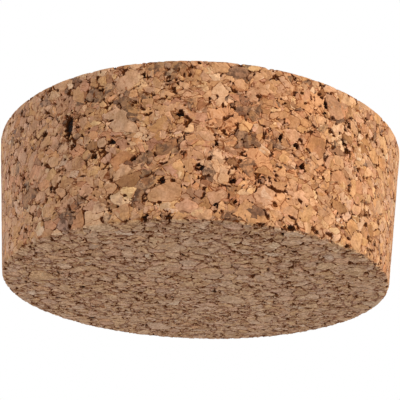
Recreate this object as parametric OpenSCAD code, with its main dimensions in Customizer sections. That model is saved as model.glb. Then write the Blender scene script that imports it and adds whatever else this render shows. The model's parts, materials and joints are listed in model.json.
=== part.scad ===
// Tapered stopper of agglomerated cork, for the neck of a wide jar.
// It is one piece: cork granules pressed with a binder, then ground to a cone.
// The ground surface has gaps where granules don't quite meet, and notches where
// they have come away from a rim.
// The origin is the centre of the narrow end, which the stopper stands on.
// +Z runs along its axis to the wide end.

/* [Stopper] */
// Diameter of the wide end, which stays above the neck
wide_d = 76; // [62:0.5:94]
// Diameter of the narrow end, which enters the neck
narrow_d = 69.5; // [56:0.5:86]
// Height from end to end
height = 25.5; // [18:0.5:36]

/* [Rims] */
// Bevel that sanding leaves on the rim of each end, along the end and along the wall
rim_bevel = 0.25; // [0.1:0.05:0.8]

/* [Gaps] */
// Width of a gap across its three arms
gap_w = 1.2; // [0.8:0.1:2.4]
// Share by which gaps and notches are wider or narrower than their usual width
gap_spread = 0.35; // [0:0.05:0.4]
// Depth of a gap
gap_depth = 0.8; // [0.4:0.1:1.4]
// Surface to each gap, in square millimetres
gap_share = 75; // [60:5:300]

/* [Notches] */
// Width of a notch in a rim
notch_w = 1.1; // [0.8:0.1:2.6]
// Depth of a notch below the rim's bevel
notch_depth = 0.4; // [0.3:0.1:1]
// Distance between notches along a rim
notch_pitch = 17; // [12:1:60]

/* [Hidden] */

$fn = 96;
wide_r = wide_d / 2;
narrow_r = narrow_d / 2;
taper = atan((wide_r - narrow_r) / height);
slant = height / cos(taper);
wall_area = PI * (wide_r + narrow_r) * slant;

// Angle between one gap and the next, which keeps neighbours apart
golden_angle = 137.508;
// Corners of a granule and of a gap between three granules, seen from above
granule_sides = 5;
gap_sides = 6;
// Largest share by which a loose gap or notch is lengthened, and narrowed to match
most_stretch = 0.5;
// Degrees by which a loose gap can stray from even spacing
stray = 4;
// How far a cutter stands proud of the surface that it cuts
cutter_lift = 0.5;
// Clear band beside each rim, which holds notches and no loose gaps
rim_band = gap_w + notch_w / 2;

// The wall's largest gaps, at the front: angle about the axis, share of the
// height, length, width, depth, and lean of the length from upright
front_gaps = [
    [-117, 0.43, 1.9, 0.9, 0.7, -50],
    [-115, 0.86, 1.6, 1.2, 0.8, 30],
    [-112, 0.51, 2.4, 1.2, 0.9, 40],
    [-104, 0.91, 2.1, 1.0, 0.8, 0],
    [-98, 0.86, 1.8, 1.4, 0.7, -40],
    [-95, 0.65, 2.1, 1.4, 0.9, 45],
    [-90, 0.32, 2.1, 1.4, 1.0, 60],
    [-82, 0.25, 2.0, 1.1, 0.9, -60],
    [-81, 0.12, 1.5, 0.9, 0.6, -10],
    [-66, 0.53, 1.9, 1.1, 0.8, 30],
    [-64, 0.41, 1.7, 1.1, 0.8, 15],
    [-62, 0.20, 1.6, 1.0, 0.7, -45],
    [-58, 0.85, 2.8, 1.1, 1.0, 5],
    [-50, 0.78, 1.8, 1.3, 0.8, 20],
    [-50, 0.61, 1.6, 1.2, 0.8, 90],
    [-45, 0.53, 1.7, 1.0, 0.8, 0]
];
// Pit that a long granule has come out of: the same values
lost_granule = [-125, 0.65, 4.8, 1.6, 1.4, -15];
// Notches in the narrow rim at the front: angle, length, width and depth
front_notches = [
    [-108, 2.0, 1.1, 0.7],
    [-103, 2.8, 1.2, 0.9],
    [-97, 2.5, 1.5, 0.9],
    [-74, 2.0, 1.1, 0.7],
    [-66, 3.0, 1.5, 1.0]
];
// Shallow chips along the wide rim at the front: angle, length, width and depth
wide_rim_chips = [
    [-118, 1.0, 1.5, 0.3],
    [-55, 1.0, 1.4, 0.3]
];

// Radius of the cone at height z
function cone_r(z) = narrow_r + (wide_r - narrow_r) * z / height;

// Depth of a cut from a rim's sharp corner, where tilt is half the corner's angle,
// for a notch that reaches depth below the bevel
function corner_depth(tilt, depth) = depth + rim_bevel * cos(tilt);

// Length, width, turn and share of the usual depth of a loose gap or notch
function loose_form(width, seed) =
    let (
        r = rands(0, 1, 4, seed),
        own_w = width * (1 + gap_spread * (2 * r[0] - 1)),
        stretch = 1 + most_stretch * r[1]
    )
    [own_w * stretch, own_w / stretch, 360 * r[2], 0.7 + 0.6 * r[3]];

// Half section of the cone: straight sides, with a bevel at either rim
module half_section() {
    up_wall = [sin(taper), cos(taper)] * rim_bevel;
    polygon([
        [0, 0], [narrow_r - rim_bevel, 0], [narrow_r, 0] + up_wall,
        [wide_r, height] - up_wall, [wide_r - rim_bevel, height], [0, height]
    ]);
}

// Crooked plug over an outline of points about the origin, from cutter_lift above
// z = 0 to depth below. It narrows downwards and ends in a blunt point.
module plug(outline, depth, seed) {
    n = len(outline);
    r = rands(0, 1, n + 1, seed);
    floor_share = 0.65 + 0.2 * r[n];
    polyhedron(
        points = concat(
            [for (p = outline) [p.x, p.y, cutter_lift]],
            [for (i = [0:n - 1])
                [outline[i].x * floor_share, outline[i].y * floor_share, -depth * (0.6 + 0.25 * r[i])]],
            [[0, 0, -depth]]
        ),
        faces = concat(
            [[for (i = [n - 1:-1:0]) i]],
            [for (i = [0:n - 1]) [i, (i + 1) % n, n + (i + 1) % n]],
            [for (i = [0:n - 1]) [i, n + (i + 1) % n, n + i]],
            [for (i = [0:n - 1]) [n + i, n + (i + 1) % n, 2 * n]]
        )
    );
}

// Plug the shape of a granule, with its length along x
module granule(length, width, depth, seed) {
    n = granule_sides;
    r = rands(0, 1, 2 * n, seed);
    plug([for (i = [0:n - 1])
        let (a = (i + 0.6 * r[i]) * 360 / n, reach = 0.9 + 0.35 * r[n + i])
        [length / 2 * reach * cos(a), width / 2 * reach * sin(a)]
    ], depth, seed + 0.25);
}

// Plug the shape of the gap between three rounded granules: three arms, with a
// hollow between each two
module gap(length, width, depth, seed) {
    n = gap_sides;
    r = rands(0, 1, 2 * n, seed);
    plug([for (i = [0:n - 1])
        let (
            a = (i + 0.5 * r[i]) * 360 / n,
            reach = i % 2 == 0 ? 1 + 0.3 * r[n + i] : 0.4 + 0.2 * r[n + i]
        )
        [length / 2 * reach * cos(a), width / 2 * reach * sin(a)]
    ], depth, seed + 0.25);
}

// Gap about as wide as gap_w, with its own size and turn
module loose_gap(seed) {
    form = loose_form(gap_w, seed);
    rotate([0, 0, form[2]])
        gap(form[0], form[1], gap_depth * form[3], seed + 0.5);
}

// Puts what follows on the cone at angle a and height z: its z is the direction
// that leans up by tilt, and its x points down the wall, turned by lean
module on_cone(a, z, tilt, lean) {
    rotate([0, 0, a])
        translate([cone_r(z), 0, z])
            rotate([0, 90 - tilt, 0])
                rotate([0, 0, lean])
                    children();
}

// Loose gaps over the wall between the two rims' bands
module wall_gaps() {
    count = floor(wall_area / gap_share);
    for (i = [0:count - 1]) {
        turn = rands(-stray, stray, 1, 100 + i)[0];
        z = rim_band + (height - 2 * rim_band) * (i + 0.5) / count;
        on_cone(i * golden_angle + turn, z, -taper, 0)
            loose_gap(500 + i);
    }
}

// Loose gaps over a round face of radius face_r, cut downwards from z = 0
module face_gaps(face_r, seed) {
    field_r = face_r - rim_band;
    count = floor(PI * field_r * field_r / gap_share);
    for (i = [0:count - 1]) {
        turn = rands(-stray, stray, 1, seed + i)[0];
        rotate([0, 0, i * golden_angle + turn])
            translate([field_r * sqrt((i + 0.5) / count), 0, 0])
                loose_gap(2 * seed + i);
    }
}

// Loose notches round the rim at height z, cut in along the direction that leans
// up by tilt, each with its own size and turn
module rim_notches(z, tilt, seed) {
    count = floor(2 * PI * cone_r(z) / notch_pitch);
    for (i = [0:count - 1]) {
        step = rands(0, 0.7, 1, seed + i)[0];
        form = loose_form(notch_w, 2 * seed + i);
        on_cone((i + step) * 360 / count, z, tilt, form[2])
            granule(form[0], form[1], corner_depth(tilt, notch_depth * form[3]), 2 * seed + i + 0.5);
    }
}

// Notches of chosen place and size in the rim at height z
module chosen_notches(notches, z, tilt, seed) {
    for (i = [0:len(notches) - 1])
        on_cone(notches[i][0], z, tilt, 0)
            gap(notches[i][1], notches[i][2], corner_depth(tilt, notches[i][3]), seed + i);
}

// Gaps and a pit of chosen place, size and lean in the wall
module chosen_gaps(gaps, pit) {
    for (i = [0:len(gaps) - 1])
        on_cone(gaps[i][0], gaps[i][1] * height, -taper, gaps[i][5])
            gap(gaps[i][2], gaps[i][3], gaps[i][4], 5000 + i);
    on_cone(pit[0], pit[1] * height, -taper, pit[5])
        granule(pit[2], pit[3], pit[4], 5100);
}

module stopper() {
    narrow_tilt = -(90 + taper) / 2;
    wide_tilt = (90 - taper) / 2;
    color([0.80, 0.60, 0.42])
    difference() {
        rotate_extrude() half_section();
        wall_gaps();
        chosen_gaps(front_gaps, lost_granule);
        translate([0, 0, height]) face_gaps(wide_r, 1000);
        mirror([0, 0, 1]) face_gaps(narrow_r, 2000);
        rim_notches(0, narrow_tilt, 3000);
        rim_notches(height, wide_tilt, 4200);
        chosen_notches(front_notches, 0, narrow_tilt, 6000);
        chosen_notches(wide_rim_chips, height, wide_tilt, 7000);
    }
}

stopper();
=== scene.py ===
"""Wide tapered stopper of pressed cork granules: its ground surface, colours and stage."""

import json
import math

import bpy
from mathutils import Matrix, Vector

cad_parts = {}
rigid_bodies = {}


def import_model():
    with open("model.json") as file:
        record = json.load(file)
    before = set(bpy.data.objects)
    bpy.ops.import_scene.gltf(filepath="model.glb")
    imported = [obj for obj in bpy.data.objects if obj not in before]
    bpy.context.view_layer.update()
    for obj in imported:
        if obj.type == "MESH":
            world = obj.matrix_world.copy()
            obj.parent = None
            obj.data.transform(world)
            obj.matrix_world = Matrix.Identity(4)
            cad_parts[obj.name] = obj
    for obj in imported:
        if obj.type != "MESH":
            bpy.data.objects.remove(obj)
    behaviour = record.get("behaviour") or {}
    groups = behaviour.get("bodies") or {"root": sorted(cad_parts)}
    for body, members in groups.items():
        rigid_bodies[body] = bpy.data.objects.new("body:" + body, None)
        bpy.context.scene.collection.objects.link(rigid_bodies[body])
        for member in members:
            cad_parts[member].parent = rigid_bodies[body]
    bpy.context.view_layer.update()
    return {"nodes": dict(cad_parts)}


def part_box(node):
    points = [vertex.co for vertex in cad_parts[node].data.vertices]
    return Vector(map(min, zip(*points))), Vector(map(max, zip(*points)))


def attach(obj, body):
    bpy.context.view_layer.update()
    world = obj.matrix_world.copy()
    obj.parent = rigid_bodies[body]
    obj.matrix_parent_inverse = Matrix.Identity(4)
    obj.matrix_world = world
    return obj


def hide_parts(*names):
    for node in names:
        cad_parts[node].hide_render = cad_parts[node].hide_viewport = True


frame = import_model()

MM = 0.001
LOW, HIGH = (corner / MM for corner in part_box("stopper"))
HEIGHT = HIGH.z - LOW.z
WIDE_R = 38.0
NARROW_R = 34.75
TAPER = math.atan((WIDE_R - NARROW_R) / HEIGHT)

# Cells that the granules are cut from, in millimetres, and the share of each size
# that is one granule: the others are filled with cells of the next size
SIZES = (3.8, 2.35, 1.6, 1.05)
SHARES = (0.10, 0.50, 0.80)
# How much flatter than wide the granules lie
FLATTENING = 1.3
# Sizes of the waves that bend the cells and of the splinters that break their edges
# up, with how far each of them reaches
WAVES = ((6.0, 2.8), (1.8, 0.15))
SPLINTERS = ((1.2, 0.50), (0.5, 0.12))
# Depth past which the solid's own surface is that of a gap or a notch
PIT_DEPTH = 0.2
# How deep the gaps between granules are sunk, and the joints between them
GAP_SINK = 0.45
JOINT_SINK = 0.02
# Height that separates the lower rim, where notches show, from the upper one
LOWER_RIM = (5.0, 15.0)
# More than any distance between neighbours
FAR = 10.0
# Grid that the surface is made even with, triangles that are left of it, distance
# under which doubles are merged, and angle in degrees under which edges are smooth
GRID = 0.17
TRIANGLES = 190000
DOUBLES = 0.0005
SMOOTH_UNDER = 34
# Granules that stand out at the front: angle about the axis, height and reach
GREY_ONES = (
    (-122, 24.0, 1.0), (-117, 21.0, 1.4), (-109, 18.5, 1.6), (-96, 11.5, 1.2), (-103, 10.0, 1.2),
    (-105, 3.5, 1.0), (-103, 6.5, 1.0), (-126, 1.5, 1.7), (-98, 24.5, 1.6), (-79, 18.5, 1.8),
    (-79, 13.0, 1.5), (-71, 13.5, 1.2), (-80, 24.0, 1.8), (-82, 0.5, 1.2), (-121, 4.5, 1.2),
)
PALE_ONES = (
    (-104, 13.5, 1.3), (-109, 3.0, 1.0), (-85, 20.0, 1.5), (-86, 9.0, 2.4), (-53, 17.0, 1.9),
    (-115, 1.0, 1.9),
)
RUSTY_ONES = ((-70, 4.0, 1.6), (-77, 9.0, 2.6), (-84, 16.0, 2.3), (-61, 21.0, 2.0))

# Browns of the granules, each with its place between the darkest, 0, and the palest, 1
BROWNS = (
    (0.00, (0.290, 0.126, 0.055)),
    (0.06, (0.390, 0.176, 0.080)),
    (0.20, (0.460, 0.216, 0.100)),
    (0.45, (0.510, 0.248, 0.118)),
    (0.70, (0.540, 0.270, 0.132)),
    (0.92, (0.570, 0.300, 0.153)),
    (1.00, (0.620, 0.370, 0.210)),
)
PALE_CORK = (0.67, 0.385, 0.215)
RUSTY_CORK = (0.61, 0.275, 0.122)
BARK = (0.115, 0.055, 0.031)
TORN_CORK = (0.475, 0.235, 0.110)
# Insides of the gaps, their own near-black with painted shade over it: near their mouth, further in, and on
# the floor of the deepest
GAP_MOUTH_SHADE = (0.155, 0.042, 0.008)
GAP_CORE_IN_SHADOW = (0.055, 0.022, 0.011)
GAP_FLOOR = (0.10, 0.066, 0.056)
# What the colour beneath is multiplied by
ROSY_TINT = (1.0, 0.88, 0.88)
FLECK_TINT = (0.62, 0.47, 0.38)
SMUDGE_TINT = (0.66, 0.60, 0.57)
JOINT_TINT = (0.44, 0.27, 0.16)
# Painted shade at the edge of a gap
GAP_EDGE_SHADE = (0.46, 0.24, 0.12)
# Painted sheen: the wall away from its front and the ends are made paler and bluer than the front, as light
# grazing them would make them
FRONT_TINT = (1.05, 1.025, 1.03)
WALL_SHEEN = (1.04, 1.065, 1.065)
END_SHEEN = (1.22, 1.38, 1.50)


class Tree:
    """A shader or geometry node tree that nodes are added to."""

    def __init__(self, tree):
        self.tree = tree
        tree.nodes.clear()

    def node(self, kind, settings=None, inputs=None, output=0):
        """Adds a node: first its settings, then the values or links of its sockets."""
        made = self.tree.nodes.new(kind)
        for name, value in (settings or {}).items():
            if name == "stops":
                self.set_stops(made.color_ramp, value)
            else:
                setattr(made, name, value)
        for name, value in (inputs or {}).items():
            socket = made.inputs[name]
            if isinstance(value, Value):
                self.tree.links.new(value.socket, socket)
            else:
                socket.default_value = value
        return Value(self, made.outputs[output]) if len(made.outputs) else None

    @staticmethod
    def set_stops(ramp, stops):
        while len(ramp.elements) < len(stops):
            ramp.elements.new(1.0)
        for element, (place, colour) in zip(ramp.elements, stops):
            element.position = place
            element.color = (*colour, 1.0)

    def math(self, operation, *values):
        return self.node("ShaderNodeMath", {"operation": operation}, dict(enumerate(values)))

    def vector(self, operation, *values, output=0):
        return self.node("ShaderNodeVectorMath", {"operation": operation}, dict(enumerate(values)), output)

    def ramp(self, value, low, high, start=0.0, end=1.0):
        """value's place between low and high, eased and held at both ends."""
        inputs = {"Value": value, "From Min": low, "From Max": high, "To Min": start, "To Max": end}
        return self.node("ShaderNodeMapRange", {"interpolation_type": "SMOOTHSTEP"}, inputs)

    def noise(self, place, size, detail=2.0, roughness=0.5, output="Fac"):
        inputs = {"Vector": place, "Scale": 1.0 / size, "Detail": detail, "Roughness": roughness}
        return self.node("ShaderNodeTexNoise", None, inputs, output)

    def cells(self, place, size, feature="F1"):
        """Distance to the nearest cell's seed, to the one after it or to the cell's edge."""
        inputs = {"Vector": place, "Scale": 1.0 / size}
        return self.node("ShaderNodeTexVoronoi", {"feature": feature}, inputs, "Distance")

    def parts(self, vector):
        """A vector's three numbers."""
        made = self.tree.nodes.new("ShaderNodeSeparateXYZ")
        self.tree.links.new(vector.socket, made.inputs[0])
        return [Value(self, out) for out in made.outputs]

    def shade(self, colour, factor):
        """A colour made lighter or darker by a factor."""
        return self.vector("MULTIPLY", colour, self.join(factor, factor, factor))

    def join(self, x, y, z):
        return self.node("ShaderNodeCombineXYZ", None, {0: x, 1: y, 2: z})

    def blend(self, factor, first, second, how="MIX"):
        """The first colour, with the second mixed in or multiplied in by factor."""
        made = self.tree.nodes.new("ShaderNodeMix")
        made.data_type = "RGBA"
        made.blend_type = how
        for index, value in ((0, factor), (6, first), (7, second)):
            if isinstance(value, Value):
                self.tree.links.new(value.socket, made.inputs[index])
            elif index:
                made.inputs[index].default_value = (*value, 1.0)
            else:
                made.inputs[index].default_value = value
        return Value(self, made.outputs[2])


class Value:
    """A node's output, which Python's operators work on."""

    def __init__(self, maker, socket):
        self.maker = maker
        self.socket = socket

    def __add__(self, other):
        return self.maker.math("ADD", self, other)

    def __sub__(self, other):
        return self.maker.math("SUBTRACT", self, other)

    def __rsub__(self, other):
        return self.maker.math("SUBTRACT", other, self)

    def __mul__(self, other):
        return self.maker.math("MULTIPLY", self, other)

    def __gt__(self, other):
        return self.maker.math("GREATER_THAN", self, other)

    def least(self, other):
        return self.maker.math("MINIMUM", self, other)

    def most(self, other):
        return self.maker.math("MAXIMUM", self, other)

    def also(self, output):
        """Another output of the same node."""
        return Value(self.maker, self.socket.node.outputs[output])

    __radd__ = __add__
    __rmul__ = __mul__


def wander(tree, place):
    """How far the cells are bent aside at a place, in millimetres."""
    total = (0.0, 0.0, 0.0)
    leans = [(tree.noise(place, size, 1.0, output="Color"), reach) for size, reach in WAVES]
    leans += [(tree.cells(place, size).also("Color"), reach) for size, reach in SPLINTERS]
    for lean, reach in leans:
        centred = tree.vector("SUBTRACT", lean, (0.5, 0.5, 0.5))
        total = tree.vector("MULTIPLY_ADD", centred, (reach, reach, reach), total)
    return total


def shift(index):
    """Where the cells of one size start, so that the sizes don't line up."""
    return (31.7 * index, 17.3 * index, 9.1 * index)


def cell_place(tree, place, bend, index):
    """A place in millimetres, bent aside, as the cells of one size see it."""
    bent = tree.vector("ADD", place, bend)
    return tree.vector("MULTIPLY_ADD", bent, (1.0, 1.0, FLATTENING), shift(index))


def real_place(tree, seed, index):
    """About where the seed of a cell lies in the stopper, in millimetres."""
    unshifted = tree.vector("SUBTRACT", seed, shift(index))
    straight = tree.vector("MULTIPLY", unshifted, (1.0, 1.0, 1.0 / FLATTENING))
    return tree.vector("SUBTRACT", straight, wander(tree, straight))


def granules(tree, place, whole, pit, torn):
    """Where the granules lie, from a place in millimetres.

    A cell is one granule, or is filled with cells of the next size. whole is 1 or 0 for
    each size of cell: 0 says that it has to be filled. pit is the distance to the solid's
    nearest gap or notch. torn is 1 where grinding opened the joints more, and 0 elsewhere.
    Returns the distance to the nearest joint, the granule's random colour, the way from
    its middle, and how far the place is inside a gap.
    """
    bend = wander(tree, place)
    crowd = tree.noise(place, 3.0, 1.0)
    hollow = tree.ramp(crowd, 0.40, 0.68, 0.98, 0.88)
    edge = None
    for index, size in reversed(list(enumerate(SIZES))):
        seen = cell_place(tree, place, bend, index)
        reach_here = tree.cells(seen, size)
        colour_here = reach_here.also("Color")
        edge_here = tree.cells(seen, size, "DISTANCE_TO_EDGE") * size
        way_here = tree.vector("SUBTRACT", seen, reach_here.also("Position"))
        gap_here = (reach_here - hollow) * size
        if edge is None:
            edge, colour, way, reach, gap = edge_here, colour_here, way_here, reach_here, gap_here
            continue
        least_chance = 1.0 - SHARES[index]
        kept = (tree.parts(colour_here)[0] * whole[index]) > least_chance
        neighbour = tree.cells(seen, size, "F2").also("Color")
        beside = kept.most(tree.parts(neighbour)[0] > least_chance)
        edge = (edge_here + (1.0 - beside) * FAR).least(edge + kept * FAR)
        colour = tree.blend(kept, colour, colour_here)
        way = tree.blend(kept, way, way_here)
        reach = reach + kept * (reach_here - reach)
        gap = gap + kept * (gap_here - gap)
    chance = tree.node("ShaderNodeTexWhiteNoise", {"noise_dimensions": "3D"}, {"Vector": colour}, "Color")

    slit = tree.ramp(tree.noise(place, 1.3, 1.0) + torn * 0.05, 0.59, 0.69, -0.05, 0.20)
    # Three granules leave a hollow-sided gap, which is wider the further they are from it
    often = tree.ramp(tree.noise(place, 1.2, 0.0), 0.43, 0.55, 0.1, 1.0)
    corner = tree.ramp(reach, 0.66, 0.88, -0.05, 0.27) * tree.ramp(crowd, 0.38, 0.62, 0.4, 1.0) * often
    # The solid's own gaps open the joints that run into them
    arm = tree.ramp(pit, 0.0, 0.6, 0.13, -0.05)
    ragged = (tree.noise(place, 0.5, 2.0) - 0.5) * 0.08
    return edge, chance, way, gap.most(slit.most(corner).most(arm) - edge) + ragged


def against_cone(tree, place):
    """How far a place in millimetres lies below the cone's surface, how far from the
    nearer rim, and 1 where the surface above it is that of an end."""
    x, y, z = tree.parts(place)
    radius = tree.math("SQRT", x * x + y * y)
    wall = (z * math.tan(TAPER) + NARROW_R - radius) * math.cos(TAPER)
    end = z.least(HEIGHT - z)
    return wall.least(end), wall.most(end), wall > end


def out_of_cone(tree, place, torn):
    """Direction from a place straight out to the cone's nearest surface."""
    x, y, z = tree.parts(place)
    around = tree.vector("NORMALIZE", tree.join(x, y, 0.0))
    flare = (math.cos(TAPER), math.cos(TAPER), 0.0)
    wall = tree.vector("MULTIPLY_ADD", around, flare, (0.0, 0.0, -math.sin(TAPER)))
    end = tree.join(0.0, 0.0, (z > HEIGHT / 2) * 2.0 - 1.0)
    return tree.blend(torn, wall, end)


def on_cone(tree, place):
    """The nearest place on the cone's surface, the way out to it, its depth above a
    place in millimetres, that place's distance from a rim, and 1 if it is an end's."""
    depth, rim, torn = against_cone(tree, place)
    out = out_of_cone(tree, place, torn)
    top = tree.vector("MULTIPLY_ADD", out, tree.join(depth, depth, depth), place)
    return top, out, depth, rim, torn


def on_wall(angle, z):
    """The wall's place at an angle about the axis, in degrees, and a height."""
    turn = math.radians(angle)
    radius = NARROW_R + (WIDE_R - NARROW_R) * z / HEIGHT
    return (math.cos(turn) * radius, math.sin(turn) * radius, z)


def picked(tree, middle, spots):
    """1 in a granule whose middle is near one of these spots."""
    found = []
    for angle, z, reach in spots:
        away = tree.vector("DISTANCE", middle, on_wall(angle, z), output="Value")
        found.append(tree.math("LESS_THAN", away, reach))
    total = found[0]
    for one in found[1:]:
        total = total.most(one)
    return total


def relief_tree():
    """Geometry nodes that sink the gaps into a mesh in millimetres.

    The points store which cells are far enough from the solid's own gaps to stay whole,
    so that such a gap lies between small granules and not in the middle of a large one,
    and how far the nearest of those gaps is.
    """
    group = bpy.data.node_groups.new("gaps between granules", "GeometryNodeTree")
    group.interface.new_socket("Mesh", in_out="INPUT", socket_type="NodeSocketGeometry")
    group.interface.new_socket("Mesh", in_out="OUTPUT", socket_type="NodeSocketGeometry")
    tree = Tree(group)
    mesh = tree.node("NodeGroupInput")
    place = tree.node("GeometryNodeInputPosition")
    top, out, depth, rim, torn = on_cone(tree, place)
    pits = tree.node("GeometryNodeSeparateGeometry", {"domain": "FACE"},
                     {"Geometry": mesh, "Selection": depth > PIT_DEPTH})

    def from_pit(spot):
        inputs = {"Geometry": pits, "Sample Position": spot}
        return tree.node("GeometryNodeProximity", {"target_element": "FACES"}, inputs, "Distance")

    def store(geometry, name, kind, value):
        settings = {"data_type": kind, "domain": "POINT"}
        return tree.node("GeometryNodeStoreNamedAttribute", settings,
                         {"Geometry": geometry, "Name": name, "Value": value})

    bend = wander(tree, top)
    whole = []
    for index in range(len(SHARES)):
        seed = tree.cells(cell_place(tree, top, bend, index), SIZES[index]).also("Position")
        whole.append(from_pit(real_place(tree, seed, index)) > 0.5 * SIZES[index])
    pit = from_pit(place)
    marked = store(mesh, "whole", "FLOAT_VECTOR", tree.join(*whole))
    marked = store(marked, "pit", "FLOAT", pit)

    edge, chance, way, gap = granules(tree, top, whole, pit, torn)
    # Granules that reach into the solid's own gaps leave angular openings
    reaching = tree.ramp(tree.parts(chance)[2], 0.14, 0.16) * tree.ramp(edge, 0.10, 0.20)
    rise = (depth - 0.1).most(0.0) * reaching * tree.ramp(depth, 1.05, 1.15, 1.0, 0.0)
    risen = tree.vector("MULTIPLY_ADD", out, tree.join(rise, rise, rise), place)
    # Gaps are shallow at a rim, where they would nick its outline
    at_rim = tree.ramp(tree.parts(place)[2], *LOWER_RIM, 0.25, 0.3)
    inner = tree.ramp(rim, 0.1, 0.6)
    sink = tree.ramp(gap, -0.04, 0.16, 0.0, GAP_SINK) * (inner + (1.0 - inner) * at_rim)
    groove = tree.ramp(edge, 0.0, 0.14, JOINT_SINK, 0.0) * (torn * 2.0 + 1.0)
    # Each granule stands a little higher or lower than its neighbours
    step = (tree.parts(chance)[1] - 0.5) * 0.03
    # Grinding breaks the lower rim into fine teeth
    tooth = tree.parts(tree.cells(top, 0.6).also("Color"))[0]
    chip = tree.ramp(tooth, 0.46, 0.54, 0.0, 0.10) * tree.ramp(rim, 0.40, 0.65, 1.0, 0.0)
    chipped = tree.ramp(tree.parts(place)[2], *LOWER_RIM, 1.0, 0.1)
    down = (sink + groove + step + chip * chipped + 0.02) * -1.0
    normal = tree.node("GeometryNodeInputNormal")
    sunk = tree.vector("MULTIPLY_ADD", normal, tree.join(down, down, down), risen)
    held = tree.vector("MAXIMUM", tree.vector("MINIMUM", sunk, HIGH), LOW)
    moved = tree.node("GeometryNodeSetPosition", None, {"Geometry": marked, "Position": held})
    tree.node("NodeGroupOutput", None, {"Mesh": moved})
    return group


def own_grain(tree, place, chance):
    """A place as a granule's own grain sees it, which lies its own way."""
    inputs = {"Vector": tree.vector("MULTIPLY_ADD", chance, (40.0, 40.0, 40.0), place),
              "Rotation": tree.vector("MULTIPLY", chance, (9.0, 7.0, 8.0))}
    return tree.node("ShaderNodeVectorRotate", {"rotation_type": "EULER_XYZ"}, inputs)


def cut_granules(tree, place, turned, chance, way):
    """Colour of cut granules: each has its own brown, clouds, grain and facets, and one side paler than the
    other as painted shade across its face.
    """
    tones = tree.parts(chance)
    brown = tree.node("ShaderNodeValToRGB", {"stops": BROWNS}, {"Fac": tones[0]})
    clouds = tree.noise(turned, 1.9, 2.0, 0.5)
    hue = (tones[1] * 0.7 + clouds * 0.9 - 0.3).least(0.9).most(0.06)
    amber_to_buff = tree.vector("MULTIPLY_ADD", tree.join(hue, hue, hue), (-0.06, 0.02, 0.44),
                                (1.03, 0.99, 0.78))
    tinted = tree.vector("MULTIPLY", brown, amber_to_buff)
    rosy = tree.blend(tree.ramp(tones[2], 0.28, 0.08), tinted, ROSY_TINT, "MULTIPLY")

    streaks = tree.noise(tree.vector("MULTIPLY", turned, (1.0, 1.0, 5.0)), 2.4, 2.0, 0.6)
    speckle = tree.noise(place, 0.35, 3.0, 0.7)
    mottle = clouds * 0.35 + streaks * 0.40 + speckle * 0.25
    facets = tree.cells(tree.vector("MULTIPLY", turned, (1.0, 1.0, 2.2)), 1.4).also("Color")
    facet = tree.parts(facets)[0] * 0.18 + 0.90
    mottled = tree.shade(rosy, tree.ramp(mottle, 0.36, 0.64, 0.83, 1.12) * facet)

    # One side of a granule is paler than the other: a random tone that also paints shade across its face
    across = tree.vector("SUBTRACT", chance, (0.5, 0.5, 0.5))
    slope = tree.vector("DOT_PRODUCT", way, across, output="Value")
    return tree.shade(mottled, tree.ramp(slope, -0.8, 0.8, 0.86, 1.10))


def odd_granules(tree, cork, place, chance, way, torn):
    """Granules of an odd colour: the chosen ones, and bark here and there on the wall."""
    middle = tree.vector("MULTIPLY_ADD", way, (-1.0, -1.0, -1.0 / FLATTENING), place)
    middle = on_cone(tree, middle)[0]
    pale = tree.blend(picked(tree, middle, PALE_ONES) * 0.6, cork, PALE_CORK)
    rusty = tree.blend(picked(tree, middle, RUSTY_ONES) * 0.7, pale, RUSTY_CORK)
    # Bark is commoner in some stretches of the wall
    common = tree.ramp(tree.noise(place, 8.0, 1.0), 0.50, 0.62, 0.0, 0.05) * (1.0 - torn)
    barky = tree.ramp(tree.parts(chance)[2] + common, 0.955, 0.960) * (1.0 - torn)
    mottle = tree.ramp(tree.noise(place, 0.9, 3.0, 0.65), 0.40, 0.62, 0.35, 0.90)
    return tree.blend(barky.most(picked(tree, middle, GREY_ONES)) * mottle, rusty, BARK)


def frayed_granules_with_painted_light(tree, cork, place, torn):
    """Frayed cork's own uneven tone, with a noise that paints highlight where it would stand up and shade
    where it would be sunk, though no relief follows it.
    Grinding frays the ends, where it tears the granules, far more than the wall. Painted sheen is also laid
    on the ends and the wall."""
    evened = tree.blend(torn * 0.45, cork, TORN_CORK)
    # Painted highlight and shade: a noise makes the cork paler where it would stand up and browner where it
    # would sink, partly the cork's own uneven tone, with no relief under it
    fray = tree.noise(place, 1.2, 3.0, 0.65) * 0.5 + tree.noise(place, 0.35, 2.0, 0.65) * 0.5
    fray_light_and_shade = tree.ramp(fray, 0.41, 0.59, -0.30, 0.25) * (torn * 0.7 + 0.3)
    # Painted sheen: away from the wall's front, and on the ends, the colour is made paler and bluer, as
    # light grazing them would make it
    from_front = tree.vector("DISTANCE", place, on_wall(-80, 12.0), output="Value")
    wall_sheen_tint = tree.blend(tree.ramp(from_front, 6.0, 18.0), FRONT_TINT, WALL_SHEEN)
    sheen_tint = tree.blend(torn, wall_sheen_tint, END_SHEEN)
    # Painted sheen on the pale bits of the fray, and deeper brown shade in its dark ones
    fray_sheen_tint = tree.vector("MULTIPLY_ADD", tree.join(fray_light_and_shade, fray_light_and_shade, fray_light_and_shade), (0.05, 0.45, 0.85),
                            sheen_tint)
    fray_shaded = tree.vector("MULTIPLY", tree.shade(evened, fray_light_and_shade + 1.0), fray_sheen_tint)
    smudge = tree.ramp(tree.noise(place, 2.6, 3.0, 0.6) - torn * 0.06, 0.58, 0.70, 0.0, 0.6)
    return tree.blend(smudge, fray_shaded, SMUDGE_TINT, "MULTIPLY")


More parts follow.
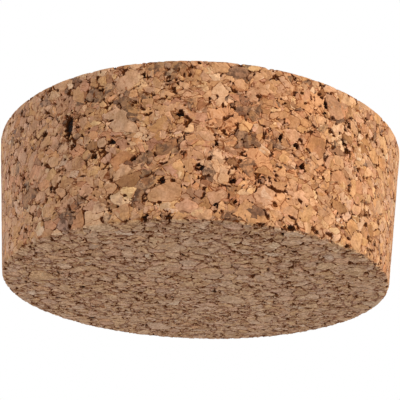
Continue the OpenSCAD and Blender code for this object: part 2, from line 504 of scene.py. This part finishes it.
def joined_granules(tree, cork, place, edge, torn):
    """Dark joints between the granules, which fade out here and there."""
    strength = tree.ramp(tree.noise(place, 1.1, 1.0) + torn * 0.05, 0.45, 0.58, 0.15, 1.0)
    joint = tree.ramp(edge, 0.02, torn * 0.12 + 0.13, 1.0, 0.0) * strength
    return tree.blend(joint, cork, JOINT_TINT, "MULTIPLY")


def gaps_in(tree, cork, inside, depth):
    """Gaps with a painted highlight at their rim, a mouth browned by painted shade and a near-black core,
    the gap's own dark with painted shadow in it:
    light that gets into a gap comes out browner. inside is how far a place is inside a gap."""
    # Painted highlight just outside a gap and painted shade at its edge
    lip = tree.ramp(inside, -0.22, -0.13) * tree.ramp(inside, -0.03, -0.07)
    lit = tree.shade(cork, lip * 0.1 + 1.0)
    shaded = tree.blend(tree.ramp(inside, -0.03, 0.02), lit, GAP_EDGE_SHADE, "MULTIPLY")
    # Painted shadow deepens the gap's own dark core
    core = tree.blend(tree.ramp(inside, 0.20, 0.60), GAP_MOUTH_SHADE, GAP_CORE_IN_SHADOW)
    core = tree.blend(tree.ramp(depth, 0.95, 1.10), core, GAP_FLOOR)
    return tree.blend(tree.ramp(inside, -0.01, 0.05), shaded, core)


def cork_material():
    """Pressed cork: granules of many browns, thin dark joints and near-black gaps."""
    material = bpy.data.materials.new("pressed cork")
    material.use_nodes = True
    tree = Tree(material.node_tree)
    object_place = tree.node("ShaderNodeTexCoord", output="Object")
    sunk_place = tree.vector("SCALE", object_place)
    sunk_place.socket.node.inputs["Scale"].default_value = 1.0 / MM
    whole = tree.parts(tree.node("ShaderNodeAttribute", {"attribute_name": "whole"}, output="Vector"))
    whole = [mark > 0.5 for mark in whole]
    pit = tree.node("ShaderNodeAttribute", {"attribute_name": "pit"}, output="Fac")
    # The granules are read where the surface was before it was sunk, as the relief was
    place, _, depth, rim, torn = on_cone(tree, sunk_place)
    edge, chance, way, gap = granules(tree, place, whole, pit, torn)
    turned = own_grain(tree, place, chance)

    cork = cut_granules(tree, place, turned, chance, way)
    cork = odd_granules(tree, cork, place, chance, way, torn)
    flecks = tree.noise(tree.vector("MULTIPLY", turned, (1.0, 1.0, 6.0)), 1.1, 2.0, 0.6)
    cork = tree.blend(tree.ramp(flecks, 0.60, 0.70, 0.0, 0.75), cork, FLECK_TINT, "MULTIPLY")
    cork = frayed_granules_with_painted_light(tree, cork, place, torn)
    cork = joined_granules(tree, cork, place, edge, torn)
    # The solid's own gaps and notches go dark with their depth below the cone: painted shadow on top of the
    # real one
    inside = gap.most(depth - tree.ramp(rim, 0.2, 0.8, 0.15, 0.0) - PIT_DEPTH - 0.12)
    cork = gaps_in(tree, cork, inside, depth)

    # Each granule's face leans its own way and is rough
    grain = tree.noise(place, 0.25, 3.0, 0.65)
    height = grain * 0.05 + tree.ramp(edge, 0.0, 0.18, 0.0, 0.09) + tree.parts(chance)[1] * 0.03
    lean = tree.vector("MULTIPLY_ADD", chance, (0.36, 0.36, 0.36), (-0.18, -0.18, -0.18))
    normal = tree.node("ShaderNodeNewGeometry", output="Normal")
    facing = tree.vector("NORMALIZE", tree.vector("ADD", normal, lean))
    inputs = {"Height": height, "Strength": 0.5, "Distance": MM, "Normal": facing}
    shader = tree.node("ShaderNodeBsdfPrincipled", None, {
        "Base Color": cork,
        "Roughness": tree.ramp(grain, 0.3, 0.7, 0.62, 0.80).most(tree.ramp(inside, -0.1, 0.0)),
        "Specular IOR Level": 0.12,
        "Sheen Weight": 0.05,
        "Normal": tree.node("ShaderNodeBump", None, inputs),
    })
    tree.node("ShaderNodeOutputMaterial", None, {"Surface": shader})
    return material


def select_only(piece):
    bpy.ops.object.select_all(action="DESELECT")
    piece.select_set(True)
    bpy.context.view_layer.objects.active = piece


def apply(piece, kind, **settings):
    """Adds a modifier with these settings and applies it."""
    modifier = piece.modifiers.new(kind.lower(), kind)
    for name, value in settings.items():
        setattr(modifier, name, value)
    bpy.ops.object.modifier_apply(modifier=modifier.name)


def resize(factor):
    """Scales the selected piece about the origin, with its size applied."""
    bpy.ops.transform.resize(value=(factor, factor, factor), center_override=(0, 0, 0))
    bpy.ops.object.transform_apply(location=True, rotation=True, scale=True)


def granular_stopper():
    """The stopper with the gaps between its granules sunk into its surface."""
    select_only(frame["nodes"]["stopper"])
    bpy.ops.object.duplicate()
    piece = bpy.context.view_layer.objects.active
    piece.name = "granular_stopper"
    bpy.ops.object.parent_clear(type="CLEAR_KEEP_TRANSFORM")
    resize(1.0 / MM)
    bpy.ops.object.mode_set(mode="EDIT")
    bpy.ops.mesh.select_all(action="SELECT")
    bpy.ops.mesh.remove_doubles(threshold=DOUBLES)
    bpy.ops.object.mode_set(mode="OBJECT")
    apply(piece, "REMESH", mode="VOXEL", voxel_size=GRID, use_smooth_shade=True)
    apply(piece, "NODES", node_group=relief_tree())
    # The grid's faces have four corners, and so are two triangles each
    apply(piece, "DECIMATE", ratio=TRIANGLES / (2 * len(piece.data.polygons)))
    # Thinning can push a point a little past either end
    for vertex in piece.data.vertices:
        vertex.co.z = min(max(vertex.co.z, LOW.z), HIGH.z)
    resize(MM)
    piece.data.materials.clear()
    piece.data.materials.append(cork_material())
    bpy.ops.object.shade_smooth_by_angle(angle=math.radians(SMOOTH_UNDER))
    return piece


def floor():
    """Pale floor that takes the stopper's shadow and is clear from below."""
    bpy.ops.mesh.primitive_circle_add(vertices=128, radius=1.5, fill_type="NGON")
    plane = bpy.context.view_layer.objects.active
    plane.name = "floor"
    plane.visible_shadow = False
    plane.visible_diffuse = False
    plane.visible_glossy = False
    material = bpy.data.materials.new("pale floor")
    material.use_nodes = True
    tree = Tree(material.node_tree)
    matt = tree.node("ShaderNodeBsdfDiffuse", None, {"Color": (0.85, 0.85, 0.85, 1.0)})
    clear = tree.node("ShaderNodeBsdfTransparent")
    below = tree.node("ShaderNodeNewGeometry", output="Backfacing")
    seen = tree.node("ShaderNodeMixShader", None, {0: below, 1: matt, 2: clear})
    tree.node("ShaderNodeOutputMaterial", None, {"Surface": seen})
    plane.data.materials.append(material)
    return plane


def lamp(name, place, target, size, power, colour):
    """Round soft lamp that points at a target."""
    bpy.ops.object.light_add(type="AREA", location=place)
    made = bpy.context.view_layer.objects.active
    made.name = name
    made.data.shape = "DISK"
    made.data.size = size
    made.data.energy = power
    made.data.color = colour
    made.visible_glossy = False
    made.rotation_mode = "QUATERNION"
    made.rotation_quaternion = (Vector(target) - Vector(place)).to_track_quat("-Z", "Y")


def surroundings():
    """White behind the object; a plain soft light on it."""
    world = bpy.data.worlds.new("white room")
    bpy.context.scene.world = world
    world.use_nodes = True
    tree = Tree(world.node_tree)
    direct = tree.node("ShaderNodeLightPath", output="Is Camera Ray")
    seen = direct.most(direct.also("Is Glossy Ray")).most(direct.also("Is Transmission Ray"))
    white = tree.node("ShaderNodeBackground", None, {"Color": (1, 1, 1, 1), "Strength": 1.0})
    light = tree.node("ShaderNodeBackground", None, {"Color": (0.95, 1.0, 1.07, 1), "Strength": 0.63})
    mixed = tree.node("ShaderNodeMixShader", None, {0: seen, 1: light, 2: white})
    tree.node("ShaderNodeOutputWorld", None, {"Surface": mixed})


def camera():
    """Looks up at the stopper from below its narrow end.

    It stands lift degrees below the stopper's middle, and is turned, tipped and rolled a
    little off it.
    """
    lift, turn, tip, roll = (math.radians(a) for a in (21.63, 0.11, 1.73, 1.99))
    away = 166.7 * MM
    ahead = Vector((math.sin(turn) * math.cos(lift + tip), math.cos(turn) * math.cos(lift + tip),
                    math.sin(lift + tip)))
    level = ahead.cross(Vector((0, 0, 1))).normalized()
    upward = level.cross(ahead)
    right = level * math.cos(roll) + upward * math.sin(roll)
    top = upward * math.cos(roll) - level * math.sin(roll)
    bpy.ops.object.camera_add(location=(0, -math.cos(lift) * away, HEIGHT / 2 * MM - math.sin(lift) * away))
    made = bpy.context.view_layer.objects.active
    made.rotation_mode = "QUATERNION"
    made.rotation_quaternion = Matrix((right, top, -ahead)).transposed().to_quaternion()
    made.data.sensor_width = 36
    made.data.lens = 79.497
    made.data.clip_start = 0.01
    bpy.context.scene.camera = made


def lights():
    """A warm key lamp on the right and a weak, cooler fill on the left."""
    centre = Vector((0, 0, HEIGHT / 2 * MM))
    away = 0.45
    for name, azimuth, rise, size, power, colour in (
        ("key", -38, 12, 0.25, 1.85, (1.0, 0.98, 0.84)),
        ("left fill", -170, 5, 0.3, 0.7, (0.90, 1.0, 1.14)),
    ):
        turn, lift = math.radians(azimuth), math.radians(rise)
        towards = Vector((math.cos(turn) * math.cos(lift), math.sin(turn) * math.cos(lift),
                          math.sin(lift)))
        lamp(name, centre + towards * away, centre, size, power, colour)


camera()
stopper = granular_stopper()
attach(stopper, "root")
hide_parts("stopper")
floor()
surroundings()
lights()
bpy.context.scene.view_settings.view_transform = "Standard"
